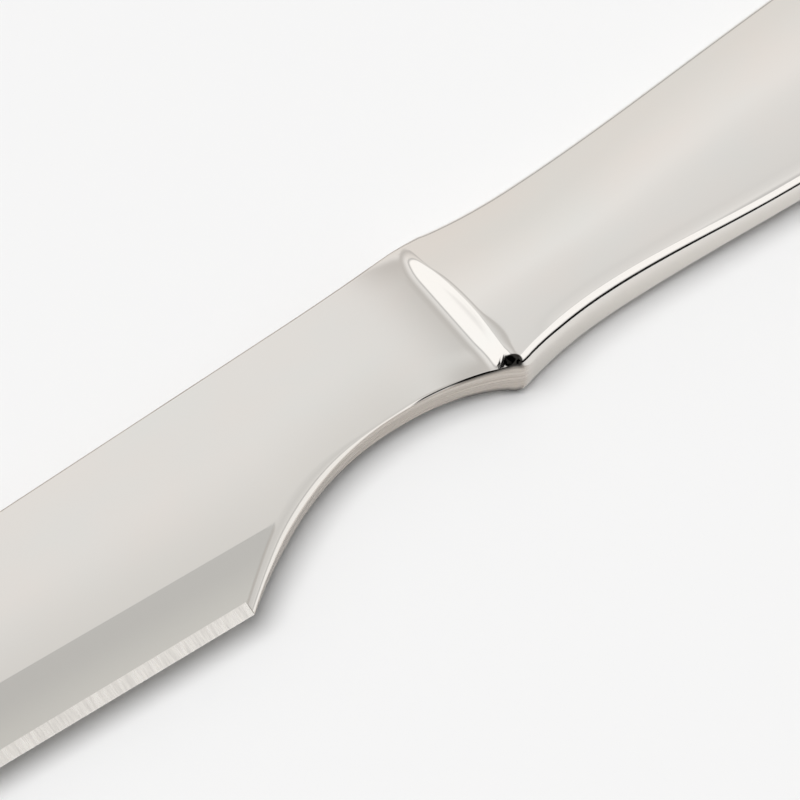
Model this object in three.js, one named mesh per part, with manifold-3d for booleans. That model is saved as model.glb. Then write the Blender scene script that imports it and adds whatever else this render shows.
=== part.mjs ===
// A steak knife with a slim hollow steel handle, lying on its side.
// Millimetres, +Z up. The tip points to -X, the butt to +X, the spine faces +Y and the edge faces -Y.
// While the pieces are shaped, x = 0 is the corner where the spine meets the bolster, y = 0 is the line of
// the blade's spine and z = 0 is the middle of the thickness. The last lines move the knife to its origin,
// which is the middle of its footprint on the table.

import * as THREE from 'three';
import { mergeVertices } from 'three/addons/utils/BufferGeometryUtils.js';
import Module from 'manifold-3d';

const wasm = await Module();
wasm.setup();

// Blade, with depths measured down from the line of the spine and setbacks forward from the bolster corner
const bladeLength = 115;
const bladeThickness = 2.3;
const tipThickness = 1.2;
const tipDepth = 8;
const tipLand = 0.4;
const tipSpineSlope = 0.36;
const tipEdgeSlope = -0.62;
const spineStraight = 68;
const spineRound = 0.2;
const heelSetback = 31.3;
const heelDepth = 19.6;
const edgeStraight = 46;
const edgeRise = 2.4;
const edgeThickness = 0.12;
const edgeBandWidth = 1.1;
const edgeBandThickness = 0.85;
const bevelWidth = 5.55;
const bevelWidening = 0.012;
const bevelShareAtTip = 0.6;

// Choil and neck, from the heel back to the bolster. A finish is the angle, in degrees, at which the rounding
// of the lower edge breaks off into the wall.
const choilSlope = 0.74;
const choilRoundHeel = 2.4;
const choilRound = 3;
const choilRoundLength = 8;
const choilFinishHeel = 26;
const choilFinish = 31.5;
const choilEnd = 11.5;
const choilEndFinish = 45;
const heelBreak = 0.1;
const neckSetback = 12.6;
const neckDepth = 12.4;
const neckRound = 0.45;
const neckRoundBack = 0.4;
const neckFinish = 60;
const neckFinishSetback = 8.5;
const neckFlare = 0.5;
const neckFlareLength = 11;

// Bolster, with its hollowed front (the cove), the ridge behind that and the beak below it. Within the runout
// from the spine the cove bends back on an arc, and over the fall the side drops away towards the beak.
const coveSetback = 3.1;
const coveRadius = 2.6;
const coveLand = 0.6;
const coveRunout = 3.6;
const coveRunoutRadius = 5;
const ridgeRound = 0.3;
const beakSetback = 0.29;
const beakDepth = 15.4;
const beakFront = 1.5;
const beakRise = 0.7;
const beakFrontSlope = -0.5;
const beakBack = 1.2;
const beakBackRise = 0.23;
const beakBackSlope = 0.2;
const beakRound = 0.15;
const beakFall = 0.62;
const beakFallWidth = 1.9;
const beakFallPower = 2.2;
const beakFallSetback = 0.7;
const beakFallEnd = 0.6;
const shoulderX = 0.9;

// Handle outline, with lengths measured back from the bolster corner
const handleLength = 108;
const cornerSlope = -0.2;
const waistX = 9;
const waistSpineDepth = 0.8;
const waistBellyDepth = 14.35;
const gripX = 27;
const gripSpineDepth = 0.05;
const gripSpineSlope = 0.063;
const gripBellyDepth = 15.4;
const gripBellySlope = -0.062;
const palmX = 86;
const palmSpineHeight = 1.9;
const palmBellyDepth = 17.6;
const buttSquareness = 2.3;
const buttRound = 5;

// Handle thickness: half of it at the spine edge, along the middle and at the belly edge
const spineHalfFront = 1.65;
const spineHalfGrip = 1.6;
const middleHalfFront = 2.85;
const middleHalfGrip = 2.45;
const middleHalfPalm = 2.9;
const bellyHalfFront = 2.75;
const bellyHalfWaist = 2.4;
const bellyHalfGrip = 1.75;
const handleSpineRound = 0.8;
const handleBellyRound = 1.3;
const handleBellyBreak = 20;

// Joints inside the handle
const wall = 0.9;
const brazeThickness = 0.3;
const fitGap = 0.2;
const spigotLength = 2.5;
const tangLength = 58;
const tangDepth = 7.6;
const tangWidthFront = 6;
const tangWidthEnd = 4.2;
const tangThicknessFront = 2;
const tangThicknessEnd = 1.2;
const cementLength = 74;

// Least that a rounded edge leaves: straight wall below it, and degrees of arc
const leastWall = 0.06;
const leastArc = 3;
const quarterTurn = 90;

// Fineness of the lofted surfaces: columns across the sections, and stations along the knife
const roundSteps = 4;
const bladeColumns = 8;
const bevelColumns = 5;
const handleColumns = 9;
const columnEvenness = 0.2;
const bevelShareMost = 0.96;
const slopeStep = 0.02;
const ridgeHalvings = 24;
const tipStations = 9;
const edgeStations = 4;
const choilStations = 14;
const neckStations = 8;
const coveStations = 6;
const ridgeStations = 4;
const bolsterStations = 6;
const spigotStations = 3;
const waistStations = 5;
const gripStations = 4;
const palmStations = 6;
const buttStations = 8;
const buttTurn = 84;

const mouthX = shoulderX + brazeThickness;
const { lerp, degToRad } = THREE.MathUtils;

// A smooth curve through knots [x, y, slope]. A fourth number gives the slope on leaving a corner.
function curveThrough(knots) {
  return (x) => {
    let i = 0;
    while (i < knots.length - 2 && x > knots[i + 1][0]) i += 1;
    const [x0, y0, arriving, leaving = arriving] = knots[i];
    const [x1, y1, slope1] = knots[i + 1];
    const span = x1 - x0;
    const t = THREE.MathUtils.clamp((x - x0) / span, 0, 1);
    const rise = (3 - 2 * t) * t * t;
    return y0 + (y1 - y0) * rise + span * (leaving * t * (1 - t) * (1 - t) - slope1 * t * t * (1 - t));
  };
}

const edgeSlope = -edgeRise / edgeStraight;

const spineLine = curveThrough([
  [-bladeLength, -tipDepth, tipSpineSlope],
  [-spineStraight, 0, 0],
  [0, 0, 0, cornerSlope],
  [waistX, -waistSpineDepth, 0],
  [gripX, -gripSpineDepth, gripSpineSlope],
  [palmX, palmSpineHeight, 0],
]);

const bellyLine = curveThrough([
  [-bladeLength, -tipDepth - tipLand, tipEdgeSlope],
  [-heelSetback - edgeStraight, -heelDepth + edgeRise, edgeSlope],
  [-heelSetback, -heelDepth, edgeSlope, choilSlope],
  [-neckSetback, -neckDepth, 0],
  [-beakSetback - beakFront, -beakDepth + beakRise, beakFrontSlope],
  [-beakSetback, -beakDepth, 0],
  [-beakSetback + beakBack, -beakDepth + beakBackRise, beakBackSlope],
  [waistX, -waistBellyDepth, 0],
  [gripX, -gripBellyDepth, gripBellySlope],
  [palmX, -palmBellyDepth, 0],
]);

// Rounding of the lower edge: wide along the choil, small along the neck and the beak, then the handle's own
const bellyRound = curveThrough([
  [-heelSetback, choilRoundHeel, 0],
  [-heelSetback + choilRoundLength, choilRound, 0],
  [-neckSetback, neckRound, 0],
  [-coveSetback, neckRoundBack, 0],
  [-beakFallSetback, beakRound, 0],
  [beakFallEnd, handleBellyRound, 0],
]);

// Angle at which that rounding breaks off: shallow along the choil, a full quarter turn on the handle
const bellyFinish = curveThrough([
  [-heelSetback, choilFinishHeel, 0],
  [-heelSetback + choilRoundLength, choilFinish, 0],
  [-choilEnd, choilEndFinish, 0],
  [-neckFinishSetback, neckFinish, 0],
  [-beakFallSetback, neckFinish, 0],
  [beakFallEnd, quarterTurn, 0],
]);

// Angle at which the side breaks into the rounding
const bellyBreak = curveThrough([
  [-beakFallSetback, 0, 0],
  [beakFallEnd, handleBellyBreak, 0],
]);

const spineRounding = curveThrough([
  [-coveSetback, spineRound, 0],
  [shoulderX, handleSpineRound, 0],
]);

// Half thickness of the flat sides: thin at the tip, level over the blade, thicker towards the bolster
const flatHalf = curveThrough([
  [-bladeLength, tipThickness / 2, 0],
  [-heelSetback - edgeStraight, bladeThickness / 2, 0],
  [-coveSetback - neckFlareLength, bladeThickness / 2, 0],
  [-coveSetback, bladeThickness / 2 + neckFlare, 2 * neckFlare / neckFlareLength],
]);

const spineHalf = curveThrough([
  [0, spineHalfFront, 0],
  [waistX, spineHalfGrip, 0],
]);

const middleHalf = curveThrough([
  [-coveSetback, middleHalfFront, 0],
  [0, middleHalfFront, 0],
  [gripX, middleHalfGrip, 0],
  [palmX, middleHalfPalm, 0],
]);

const bellyHalf = curveThrough([
  [-coveSetback, bellyHalfFront, 0],
  [shoulderX, bellyHalfFront, 0],
  [waistX, bellyHalfWaist, 0],
  [gripX, bellyHalfGrip, 0],
  [palmX, spineHalfGrip, 0],
]);

// Side of the handle, crowned between its spine edge (across = 0) and its belly edge (across = 1)
function crownHeight(x, across) {
  const edge = lerp(spineHalf(x), bellyHalf(x), across);
  const bulge = middleHalf(x) - (spineHalf(x) + bellyHalf(x)) / 2;
  return edge + 4 * bulge * across * (1 - across);
}

// The cove is a round hollow across the knife, tangent to the flared neck where it starts
const coveTilt = Math.atan(2 * neckFlare / neckFlareLength);
const coveCentreX = -coveSetback - coveRadius * Math.sin(coveTilt);
const coveCentreZ = bladeThickness / 2 + neckFlare + coveRadius * Math.cos(coveTilt);

// Front of the bolster: the flared neck, which runs straight on up to the cove, and the cove itself
function frontHeight(x, y) {
  const shift = Math.max(coveRunout + y, 0) ** 2 / (2 * coveRunoutRadius);
  const run = x - shift + coveSetback;
  if (run < 0) return bladeThickness / 2 + neckFlare + (x + coveSetback) * Math.tan(coveTilt);
  const fromCentre = x - shift - coveCentreX;
  return coveCentreZ + shift * Math.tan(coveTilt) - Math.sqrt(Math.max(coveRadius ** 2 - fromCentre ** 2, 0));
}

const beakFallAt = curveThrough([
  [-beakFallSetback, beakFall, 0],
  [beakFallEnd, 0, 0],
]);

// Side of the bolster, which falls away towards the beak
function sideHeight(x, y) {
  const across = (spineLine(x) - y) / (spineLine(x) - bellyLine(x));
  const inside = Math.max(1 - (y - bellyLine(x)) / beakFallWidth, 0);
  return crownHeight(x, across) - beakFallAt(x) * inside ** beakFallPower;
}

// Where the cove breaks out through the side: the ridge of the bolster, found by halving
function ridgeX(across) {
  let low = -coveSetback;
  let high = shoulderX;
  for (let i = 0; i < ridgeHalvings; i += 1) {
    const x = (low + high) / 2;
    const y = lerp(spineLine(x), bellyLine(x), across);
    if (frontHeight(x, y) < sideHeight(x, y)) low = x;
    else high = x;
  }
  return Math.max(low, -coveSetback + coveLand);
}

// The lesser of two heights, with the corner between them rounded
function smoothLeast(first, second, blend) {
  const overlap = Math.max(blend - Math.abs(first - second), 0) / blend;
  return Math.min(first, second) - overlap * overlap * blend / 4;
}

// Top line of the ground bevel. Behind the heel it runs on straight until the choil cuts it off.
function bevelLine(x) {
  const toHeel = -heelSetback - x;
  const edge = toHeel < 0 ? -heelDepth - edgeSlope * toHeel : bellyLine(x);
  return edge + Math.min(bevelWidth + bevelWidening * toHeel, bevelShareAtTip * (spineLine(x) - edge));
}

function bevelHeight(x, y) {
  const top = bevelLine(x);
  const width = Math.min(bevelWidth, bevelShareAtTip * (spineLine(x) - bellyLine(x))) - edgeBandWidth;
  const drop = flatHalf(x) - edgeBandThickness / 2;
  const below = x < -neckSetback ? Math.max(top - y, 0) : 0;
  return flatHalf(x) - drop * below / Math.max(width, edgeBandWidth);
}

function bladeHeight(x, y) {
  if (x < -coveSetback - neckFlareLength) return Math.max(bevelHeight(x, y), edgeThickness / 2);
  const front = x < -coveSetback ? flatHalf(x) : frontHeight(x, y);
  return smoothLeast(front, sideHeight(x, y), ridgeRound);
}

function steps(from, to, count) {
  return Array.from({ length: count }, (_, i) => from + (to - from) * i / count);
}

// Shares of a width that lie closer together at both ends
function eased(share) {
  return share - (1 - columnEvenness) * Math.sin(2 * Math.PI * share) / (2 * Math.PI);
}

// How steeply a side falls towards its edge, in degrees
function tiltOf(height, y, towards) {
  const fall = height(y) - height(y + towards * slopeStep);
  return Math.max(THREE.MathUtils.radToDeg(Math.atan2(fall, slopeStep)), 0);
}

// A rounded edge as [y, z] points, from the side at the start angle round to the wall at the finish angle
function edgeArc(edgeY, inward, radius, start, finish, faceZ, leastZ) {
  const cosStart = Math.cos(degToRad(start));
  const sinFinish = Math.sin(degToRad(finish));
  const drop = radius * (cosStart - Math.cos(degToRad(finish)));
  const squeeze = Math.min((faceZ - leastZ) / drop, 1);
  return steps(start, finish, roundSteps).slice(1).concat(finish).map(degToRad).map((angle) => [
    edgeY + inward * radius * (sinFinish - Math.sin(angle)),
    faceZ - squeeze * radius * (cosStart - Math.cos(angle)),
  ]);
}

function geometryFrom(positions, triangles) {
  const geometry = new THREE.BufferGeometry();
  geometry.setAttribute('position', new THREE.Float32BufferAttribute(positions, 3));
  geometry.setIndex(triangles);
  return geometry;
}

// A closed solid through rings of [x, y, z] points, all with the same count, listed from -X to +X.
// Each ring runs from the spine over the top to the belly and back below.
function loft(rings) {
  const count = rings[0].length;
  const triangles = [];
  for (let r = 0; r < rings.length - 1; r += 1) {
    for (let k = 0; k < count; k += 1) {
      const a = r * count + k;
      const b = r * count + (k + 1) % count;
      triangles.push(a, b, a + count, b, b + count, a + count);
    }
  }
  const capOf = (ring) => THREE.ShapeUtils.triangulateShape(
    ring.map(([, y, z]) => new THREE.Vector2(y, z)), []);
  const lastRing = (rings.length - 1) * count;
  for (const [a, b, c] of capOf(rings[0])) {
    triangles.push(c, b, a);
  }
  for (const [a, b, c] of capOf(rings.at(-1))) {
    triangles.push(lastRing + a, lastRing + b, lastRing + c);
  }
  return geometryFrom(rings.flat(2), triangles);
}

// The upper half of a ring, closed by its mirror image below the middle plane
function wholeRing(upper) {
  const lower = upper.slice(1, -1).reverse().map(([x, y, z]) => [x, y, -z]);
  return [...upper, ...lower];
}

function solid(geometry) {
  const bare = geometry.clone();
  bare.deleteAttribute('normal');
  bare.deleteAttribute('uv');
  const merged = mergeVertices(bare);
  return new wasm.Manifold(new wasm.Mesh({
    numProp: 3,
    vertProperties: merged.attributes.position.array,
    triVerts: Uint32Array.from(merged.index.array),
  }));
}

function geometryOf(manifold) {
  const { vertProperties, triVerts } = manifold.getMesh();
  return geometryFrom(vertProperties, Array.from(triVerts));
}

// Blade

// The column on the bevel's top line follows it down to the choil, then spreads out over the bolster
const bevelShareLimit = curveThrough([
  [-heelSetback + choilRoundLength, bevelShareMost, 0],
  [-coveSetback, bladeColumns / (bladeColumns + bevelColumns), 0],
]);

// Upper half of the blade's section, from the middle of the spine to the middle of the belly. A station gives
// its x for each place across the knife, so that the stations around the cove can follow the curved ridge.
function bladeSection(station) {
  const atSpine = station(0);
  const atBelly = station(1);
  const spineY = spineLine(atSpine);
  const bellyY = bellyLine(atBelly);
  const onEdge = atBelly < -heelSetback;
  const roundMost = (spineY - bellyY) / 4;

  const topRound = Math.min(spineRounding(atSpine), roundMost);
  const topTilt = tiltOf((y) => bladeHeight(atSpine, y), spineY - topRound, 1);
  const topY = spineY - topRound * (1 - Math.sin(degToRad(topTilt)));
  const topZ = bladeHeight(atSpine, topY);

  const lowRound = Math.min(onEdge ? edgeBandWidth : bellyRound(atBelly), roundMost);
  const lowFinish = bellyFinish(atBelly);
  const sideTilt = atBelly < -coveSetback
    ? 0 : tiltOf((y) => bladeHeight(atBelly, y), bellyY + lowRound, -1);
  const lowTilt = Math.min(Math.max(bellyBreak(atBelly), sideTilt), lowFinish - leastArc);
  const roundWidth = lowRound * (Math.sin(degToRad(lowFinish)) - Math.sin(degToRad(lowTilt)));
  const lowY = bellyY + (onEdge ? lowRound : roundWidth);
  const lowZ = bladeHeight(atBelly, lowY);

  const edgeZ = edgeThickness / 2;
  const topArc = edgeArc(spineY, -1, topRound, topTilt, quarterTurn, topZ, edgeZ).reverse();
  const band = steps(0, 1, roundSteps).slice(1).concat(1)
    .map((t) => [lerp(lowY, bellyY, t), lerp(lowZ, edgeZ, t)]);
  const lowArc = onEdge ? band : edgeArc(bellyY, 1, lowRound, lowTilt, lowFinish, lowZ, edgeZ);

  const bevelShare = Math.min((topY - bevelLine(atBelly)) / (topY - lowY), bevelShareLimit(atBelly));
  const shares = [
    ...steps(0, 1, bladeColumns).map((t) => bevelShare * eased(t)),
    ...steps(0, 1, bevelColumns).concat(1).map((t) => lerp(bevelShare, 1, eased(t))),
  ];
  const side = shares.map((share) => {
    const x = station(share);
    const y = lerp(topY + spineLine(x) - spineY, lowY + bellyLine(x) - bellyY, share);
    return [x, y, bladeHeight(x, y)];
  });

  return [
    [atSpine, spineY, 0],
    ...topArc.map(([y, z]) => [atSpine, y, z]),
    ...side,
    ...lowArc.map(([y, z]) => [atBelly, y, z]),
    [atBelly, bellyY, 0],
  ];
}

// Stations from the tip to the bolster's shoulder, closer together where the blade curves
function bladeStations() {
  const edgeFront = -heelSetback - edgeStraight;
  const straight = [
    ...steps(0, 1, tipStations).map((t) => lerp(-bladeLength, edgeFront, t * (2 - t))),
    ...steps(edgeFront, -heelSetback, edgeStations),
    -heelSetback - heelBreak,
    ...steps(-heelSetback, -neckSetback, choilStations),
    ...steps(-neckSetback, -coveSetback, neckStations),
    -coveSetback,
  ].map((x) => () => x);
  const hollow = steps(0, 1, coveStations).slice(1).map((t) => Math.sin(t * Math.PI / 2))
    .map((t) => (across) => lerp(-coveSetback, ridgeX(across) - ridgeRound, t));
  const ridge = steps(-ridgeRound, ridgeRound, ridgeStations)
    .map((offset) => (across) => ridgeX(across) + offset);
  const crowned = steps(0, 1, bolsterStations).concat(1)
    .map((t) => (across) => lerp(ridgeX(across) + ridgeRound, shoulderX, t));
  return [...straight, ...hollow, ...ridge, ...crowned];
}

// A tapered bar on the blade's middle plane, running back from the bolster. Grown by a gap it makes the
// pocket that the tang lies in.
function tangBar(grow) {
  const end = shoulderX + tangLength + grow;
  const ring = (x, width, thickness) => {
    const upper = [
      [x, -tangDepth + width / 2 + grow, 0],
      [x, -tangDepth + width / 2 + grow, thickness / 2 + grow],
      [x, -tangDepth - width / 2 - grow, thickness / 2 + grow],
      [x, -tangDepth - width / 2 - grow, 0],
    ];
    return wholeRing(upper);
  };
  return loft([
    ring(0, tangWidthFront, tangThicknessFront),
    ring(shoulderX, tangWidthFront, tangThicknessFront),
    ring(end, tangWidthEnd, tangThicknessEnd),
  ]);
}

// Handle

// Outline and side of the handle, drawn in from the outer surface by an inset. The butt is a rounded oval.
function handleEdges(x, inset) {
  const back = Math.max((x - palmX) / (handleLength - palmX - inset), 0);
  const shrink = (1 - Math.min(back, 1) ** buttSquareness) ** (1 / buttSquareness);
  const middle = (spineLine(x) + bellyLine(x)) / 2;
  const halfWidth = ((spineLine(x) - bellyLine(x)) / 2 - inset) * shrink;
  return [middle + halfWidth, middle - halfWidth];
}

function handleHeight(x, across, inset) {
  const intoButt = Math.max((x - handleLength + buttRound) / (buttRound - inset), 0);
  return (crownHeight(x, across) - inset) * Math.sqrt(1 - Math.min(intoButt, 1) ** 2);
}

// Half of the handle's section, from a floor plane up
function handleSection(x, inset, floor) {
  const [top, bottom] = handleEdges(x, inset);
  const height = (y) => handleHeight(x, (top - y) / (top - bottom), inset);
  const roundMost = Math.min((top - bottom) / 4, height((top + bottom) / 2) - floor);

  const topRound = Math.min(handleSpineRound, roundMost);
  const topTilt = tiltOf(height, top - topRound, 1);
  const topY = top - topRound * (1 - Math.sin(degToRad(topTilt)));
  const topArc = edgeArc(
    top, -1, topRound, topTilt, quarterTurn, height(topY), floor + leastWall).reverse();

  const lowRound = Math.min(handleBellyRound, roundMost);
  const lowTilt = Math.max(tiltOf(height, bottom + lowRound, -1), handleBellyBreak);
  const lowY = bottom + lowRound * (1 - Math.sin(degToRad(lowTilt)));
  const lowArc = edgeArc(bottom, 1, lowRound, lowTilt, quarterTurn, height(lowY), floor + leastWall);

  const side = steps(topY, lowY, handleColumns).concat(lowY).map((y) => [y, height(y)]);
  return [
    [x, top, floor],
    ...[...topArc, ...side, ...lowArc].map(([y, z]) => [x, y, z]),
    [x, bottom, floor],
  ];
}

// Stations down the handle, closer together where it curves: behind the bolster and round the butt
function handleStations(from, inset) {
  const end = handleLength - inset;
  const roundButt = steps(0, buttTurn, buttStations).concat(buttTurn)
    .map((turn) => Math.sin(degToRad(turn)) ** (2 / buttSquareness));
  return [
    ...steps(from, waistX, waistStations),
    ...steps(waistX, gripX, gripStations),
    ...steps(gripX, palmX, palmStations),
    ...roundButt.map((share) => lerp(palmX, end, share)),
  ];
}

function halfShell() {
  const floor = brazeThickness / 2;
  const outside = loft(handleStations(mouthX, 0).map((x) => handleSection(x, 0, floor)));
  const inside = loft(handleStations(shoulderX, wall).map((x) => handleSection(x, wall, 0)));
  return geometryOf(solid(outside).subtract(solid(inside)));
}

function mirrored(geometry) {
  const copy = geometry.clone().scale(1, 1, -1);
  const index = copy.index.array;
  for (let i = 0; i < index.length; i += 3) {
    [index[i + 1], index[i + 2]] = [index[i + 2], index[i + 1]];
  }
  return copy;
}

// The pieces

function makeBlade() {
  const forging = solid(loft(bladeStations().map((station) => wholeRing(bladeSection(station)))));
  const spigotEnd = mouthX + spigotLength;
  const spigot = loft(steps(0, spigotEnd, spigotStations).concat(spigotEnd)
    .map((x) => wholeRing(handleSection(x, wall + fitGap, 0))));
  return geometryOf(forging.add(solid(spigot)).add(solid(tangBar(0))));
}

// Flat strip of braze between the rims of the two halves: spine, butt and belly in one U
function makeSeamBraze() {
  const outer = handleStations(mouthX, 0);
  const inner = handleStations(mouthX, wall);
  const corners = [
    ...outer.map((x) => [x, handleEdges(x, 0)[0]]),
    ...outer.map((x) => [x, handleEdges(x, 0)[1]]).reverse(),
    ...inner.map((x) => [x, handleEdges(x, wall)[1]]),
    ...inner.map((x) => [x, handleEdges(x, wall)[0]]).reverse(),
  ];
  const shape = new THREE.Shape(corners.map(([x, y]) => new THREE.Vector2(x, y)));
  const strip = new THREE.ExtrudeGeometry(shape, { depth: brazeThickness, bevelEnabled: false });
  return strip.translate(0, 0, -brazeThickness / 2);
}

// Flat ring of braze between the bolster's shoulder and the mouth of the handle
function makeBolsterBraze() {
  const outline = (inset) => wholeRing(handleSection(mouthX, inset, 0))
    .map(([, y, z]) => new THREE.Vector2(y, z));
  const shape = new THREE.Shape(outline(0));
  shape.holes.push(new THREE.Path(outline(wall)));
  const ring = new THREE.ExtrudeGeometry(shape, { depth: brazeThickness, bevelEnabled: false });
  const standing = new THREE.Matrix4().makeBasis(
    new THREE.Vector3(0, 1, 0), new THREE.Vector3(0, 0, 1), new THREE.Vector3(1, 0, 0));
  return ring.applyMatrix4(standing).translate(shoulderX, 0, 0);
}

// Cement that fills the front of the hollow round the tang
function makeTangCement() {
  const from = mouthX + spigotLength + fitGap;
  const to = shoulderX + cementLength;
  const stations = [...handleStations(from, wall).filter((x) => x < to), to];
  const filling = loft(stations.map((x) => wholeRing(handleSection(x, wall + fitGap, 0))));
  return geometryOf(solid(filling).subtract(solid(tangBar(fitGap))));
}

function metal(color, roughness) {
  return new THREE.MeshStandardMaterial({ color, roughness, metalness: 1, flatShading: true });
}

function piece(name, geometry, material) {
  const mesh = new THREE.Mesh(geometry, material);
  mesh.name = name;
  return mesh;
}

const shell = halfShell();
const cementMaterial = new THREE.MeshStandardMaterial({ color: 0x8f897c, roughness: 0.95, metalness: 0 });

const knife = new THREE.Group();
knife.add(
  piece('blade', makeBlade(), metal(0xdbd9d3, 0.22)),
  piece('handle_shell_right', shell, metal(0xe2dfd8, 0.14)),
  piece('handle_shell_left', mirrored(shell), metal(0xe2dfd8, 0.14)),
  piece('seam_braze', makeSeamBraze(), metal(0xdcd6c6, 0.25)),
  piece('bolster_braze', makeBolsterBraze(), metal(0xdcd6c6, 0.25)),
  piece('tang_cement', makeTangCement(), cementMaterial),
);

const box = new THREE.Box3().setFromObject(knife);
const middle = box.getCenter(new THREE.Vector3());
knife.position.set(-middle.x, -middle.y, -box.min.z);

export default knife;
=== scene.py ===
"""A steak knife of polished stainless steel: forged blade and bolster, slim hollow handle."""

import math

import bpy
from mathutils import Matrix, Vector


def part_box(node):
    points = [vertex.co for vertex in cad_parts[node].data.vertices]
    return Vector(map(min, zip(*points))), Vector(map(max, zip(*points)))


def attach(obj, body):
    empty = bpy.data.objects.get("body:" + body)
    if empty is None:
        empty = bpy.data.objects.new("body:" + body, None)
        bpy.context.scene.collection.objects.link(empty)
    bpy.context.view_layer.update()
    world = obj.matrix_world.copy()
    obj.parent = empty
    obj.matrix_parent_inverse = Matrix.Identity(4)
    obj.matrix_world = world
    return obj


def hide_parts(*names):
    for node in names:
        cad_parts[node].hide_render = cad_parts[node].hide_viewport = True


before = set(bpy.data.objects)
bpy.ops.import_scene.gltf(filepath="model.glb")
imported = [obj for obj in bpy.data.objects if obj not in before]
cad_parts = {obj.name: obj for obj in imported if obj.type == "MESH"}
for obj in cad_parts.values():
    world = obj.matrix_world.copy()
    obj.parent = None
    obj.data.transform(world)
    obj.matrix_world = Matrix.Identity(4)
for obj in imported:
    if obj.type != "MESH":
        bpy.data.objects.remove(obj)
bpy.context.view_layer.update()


# Table
# A matt white sheet under the knife, far larger than the knife itself.
# It is only the stage, and no part of the knife.

table_size = 6.0
table_white = (0.90, 0.90, 0.90, 1)

bpy.ops.object.select_all(action="DESELECT")
bpy.ops.mesh.primitive_plane_add(size=table_size)
table = bpy.context.object
table.name = "table"
table_paint = bpy.data.materials.new("matt_white")
table_paint.use_nodes = True
table_shader = table_paint.node_tree.nodes["Principled BSDF"]
table_shader.inputs["Base Color"].default_value = table_white
table_shader.inputs["Roughness"].default_value = 0.9
table_shader.inputs["Specular IOR Level"].default_value = 0.1
table.data.materials.append(table_paint)


# Studio light
# A white tent with a bright softbox in front, a white wall beyond the tip and three small black flags,
# all of which the polished steel mirrors. A wide lamp overhead casts the soft shadow under the knife.

def math_step(tree, operation, *values):
    """Add one Math node and return its result."""
    node = tree.nodes.new("ShaderNodeMath")
    node.operation = operation
    for socket, value in zip(node.inputs, values):
        if isinstance(value, (int, float)):
            socket.default_value = value
        else:
            tree.links.new(value, socket)
    return node.outputs[0]


def fade(tree, value, start, end):
    """Go smoothly from 0 where the value is at start to 1 where it is at end."""
    node = tree.nodes.new("ShaderNodeMapRange")
    node.interpolation_type = "SMOOTHSTEP"
    node.inputs["From Min"].default_value = start
    node.inputs["From Max"].default_value = end
    tree.links.new(value, node.inputs["Value"])
    return node.outputs["Result"]


def mix_colour(tree, share, first, second):
    """Mix two colours, each a plain colour or another node's result."""
    node = tree.nodes.new("ShaderNodeMix")
    node.data_type = "RGBA"
    for name, value in (("Factor_Float", share), ("A_Color", first), ("B_Color", second)):
        socket = next(s for s in node.inputs if s.identifier == name)
        if isinstance(value, (int, float, tuple)):
            socket.default_value = value
        else:
            tree.links.new(value, socket)
    return next(s for s in node.outputs if s.identifier == "Result_Color")


def patch(tree, *sides):
    """A patch of the tent that all of these sides leave over."""
    inside = sides[0]
    for side in sides[1:]:
        inside = math_step(tree, "MULTIPLY", inside, side)
    return inside


def grey(level, warmth=0.0):
    """A grey of the given brightness, a little red where warmth is above 0."""
    return (level * (1 + warmth), level, level * (1 - warmth), 1)


tent_stops = (
    (-90, grey(0.30, 0.03)),
    (-78, grey(0.50, 0.03)),
    (-68, grey(0.85, 0.03)),
    (-55, grey(0.88, 0.025)),
    (-44, grey(0.885, 0.02)),
    (-35, grey(0.95, 0.01)),
    (-29, grey(0.98)),
    (-24, grey(0.925)),
    (-20, grey(0.895)),
    (-12, grey(0.865)),
    (-4, grey(0.83)),
    (6, grey(0.88)),
    (11, grey(0.97)),
    (14, grey(0.62)),
    (22, grey(0.80)),
    (60, grey(0.86)),
    (90, grey(0.72)),
)
softbox_white = grey(1.2)
flag_black = grey(0.01)
wall_white = grey(1.22)
wall_foot = grey(1.06)
halo_grey = grey(0.64, 0.02)
wall_edge_grey = grey(0.6)
backdrop_white = grey(0.93)
end_foot = 0.35
tent_on_table = 0.42

# Each edge fades in from its first number to its second. They are degrees over the table from back
# to front, round it or up from it, and for those named along they are shares of a direction's x.
softbox_top = (16, 17.5)
softbox_foot = (68, 60)
softbox_side = (9, 14)
wall_along = (-0.255, -0.34)
wall_side = (-102, -108)
wall_brighter = (12, 28)
wall_edge_along = (-0.21, -0.25)
wall_edge_side = (-65, -75)
low_flag_top = (70, 72)
low_flag_left = (9, 13)
low_flag_right = (46, 40)
neck_flag_top = (26, 32)
neck_flag_foot = (66, 60)
neck_flag_left = (-34, -26)
neck_flag_right = (14, 9)
neck_slot_left = (-29, -24)
neck_slot_right = (-6, -11)
end_flag_along = (-0.26, -0.34)
end_flag_left = (-108, -102)
end_flag_right = (-56, -64)
end_flag_foot = (34, 40)
end_flag_whole = (-88, -82)
halo_front_along = (0.21, 0.125)
halo_back_along = (-0.16, 0.12)

studio = bpy.data.worlds.new("studio")
studio.use_nodes = True
tent = studio.node_tree
tent_background = tent.nodes["Background"]
direction = tent.nodes.new("ShaderNodeTexCoord")
axes = tent.nodes.new("ShaderNodeSeparateXYZ")
tent.links.new(direction.outputs["Generated"], axes.inputs["Vector"])
to_front = math_step(tent, "MULTIPLY", axes.outputs["Y"], -1.0)
over = math_step(tent, "DEGREES", math_step(tent, "ARCTAN2", to_front, axes.outputs["Z"]))
swing = math_step(tent, "DEGREES", math_step(tent, "ARCTAN2", axes.outputs["X"], to_front))

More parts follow.
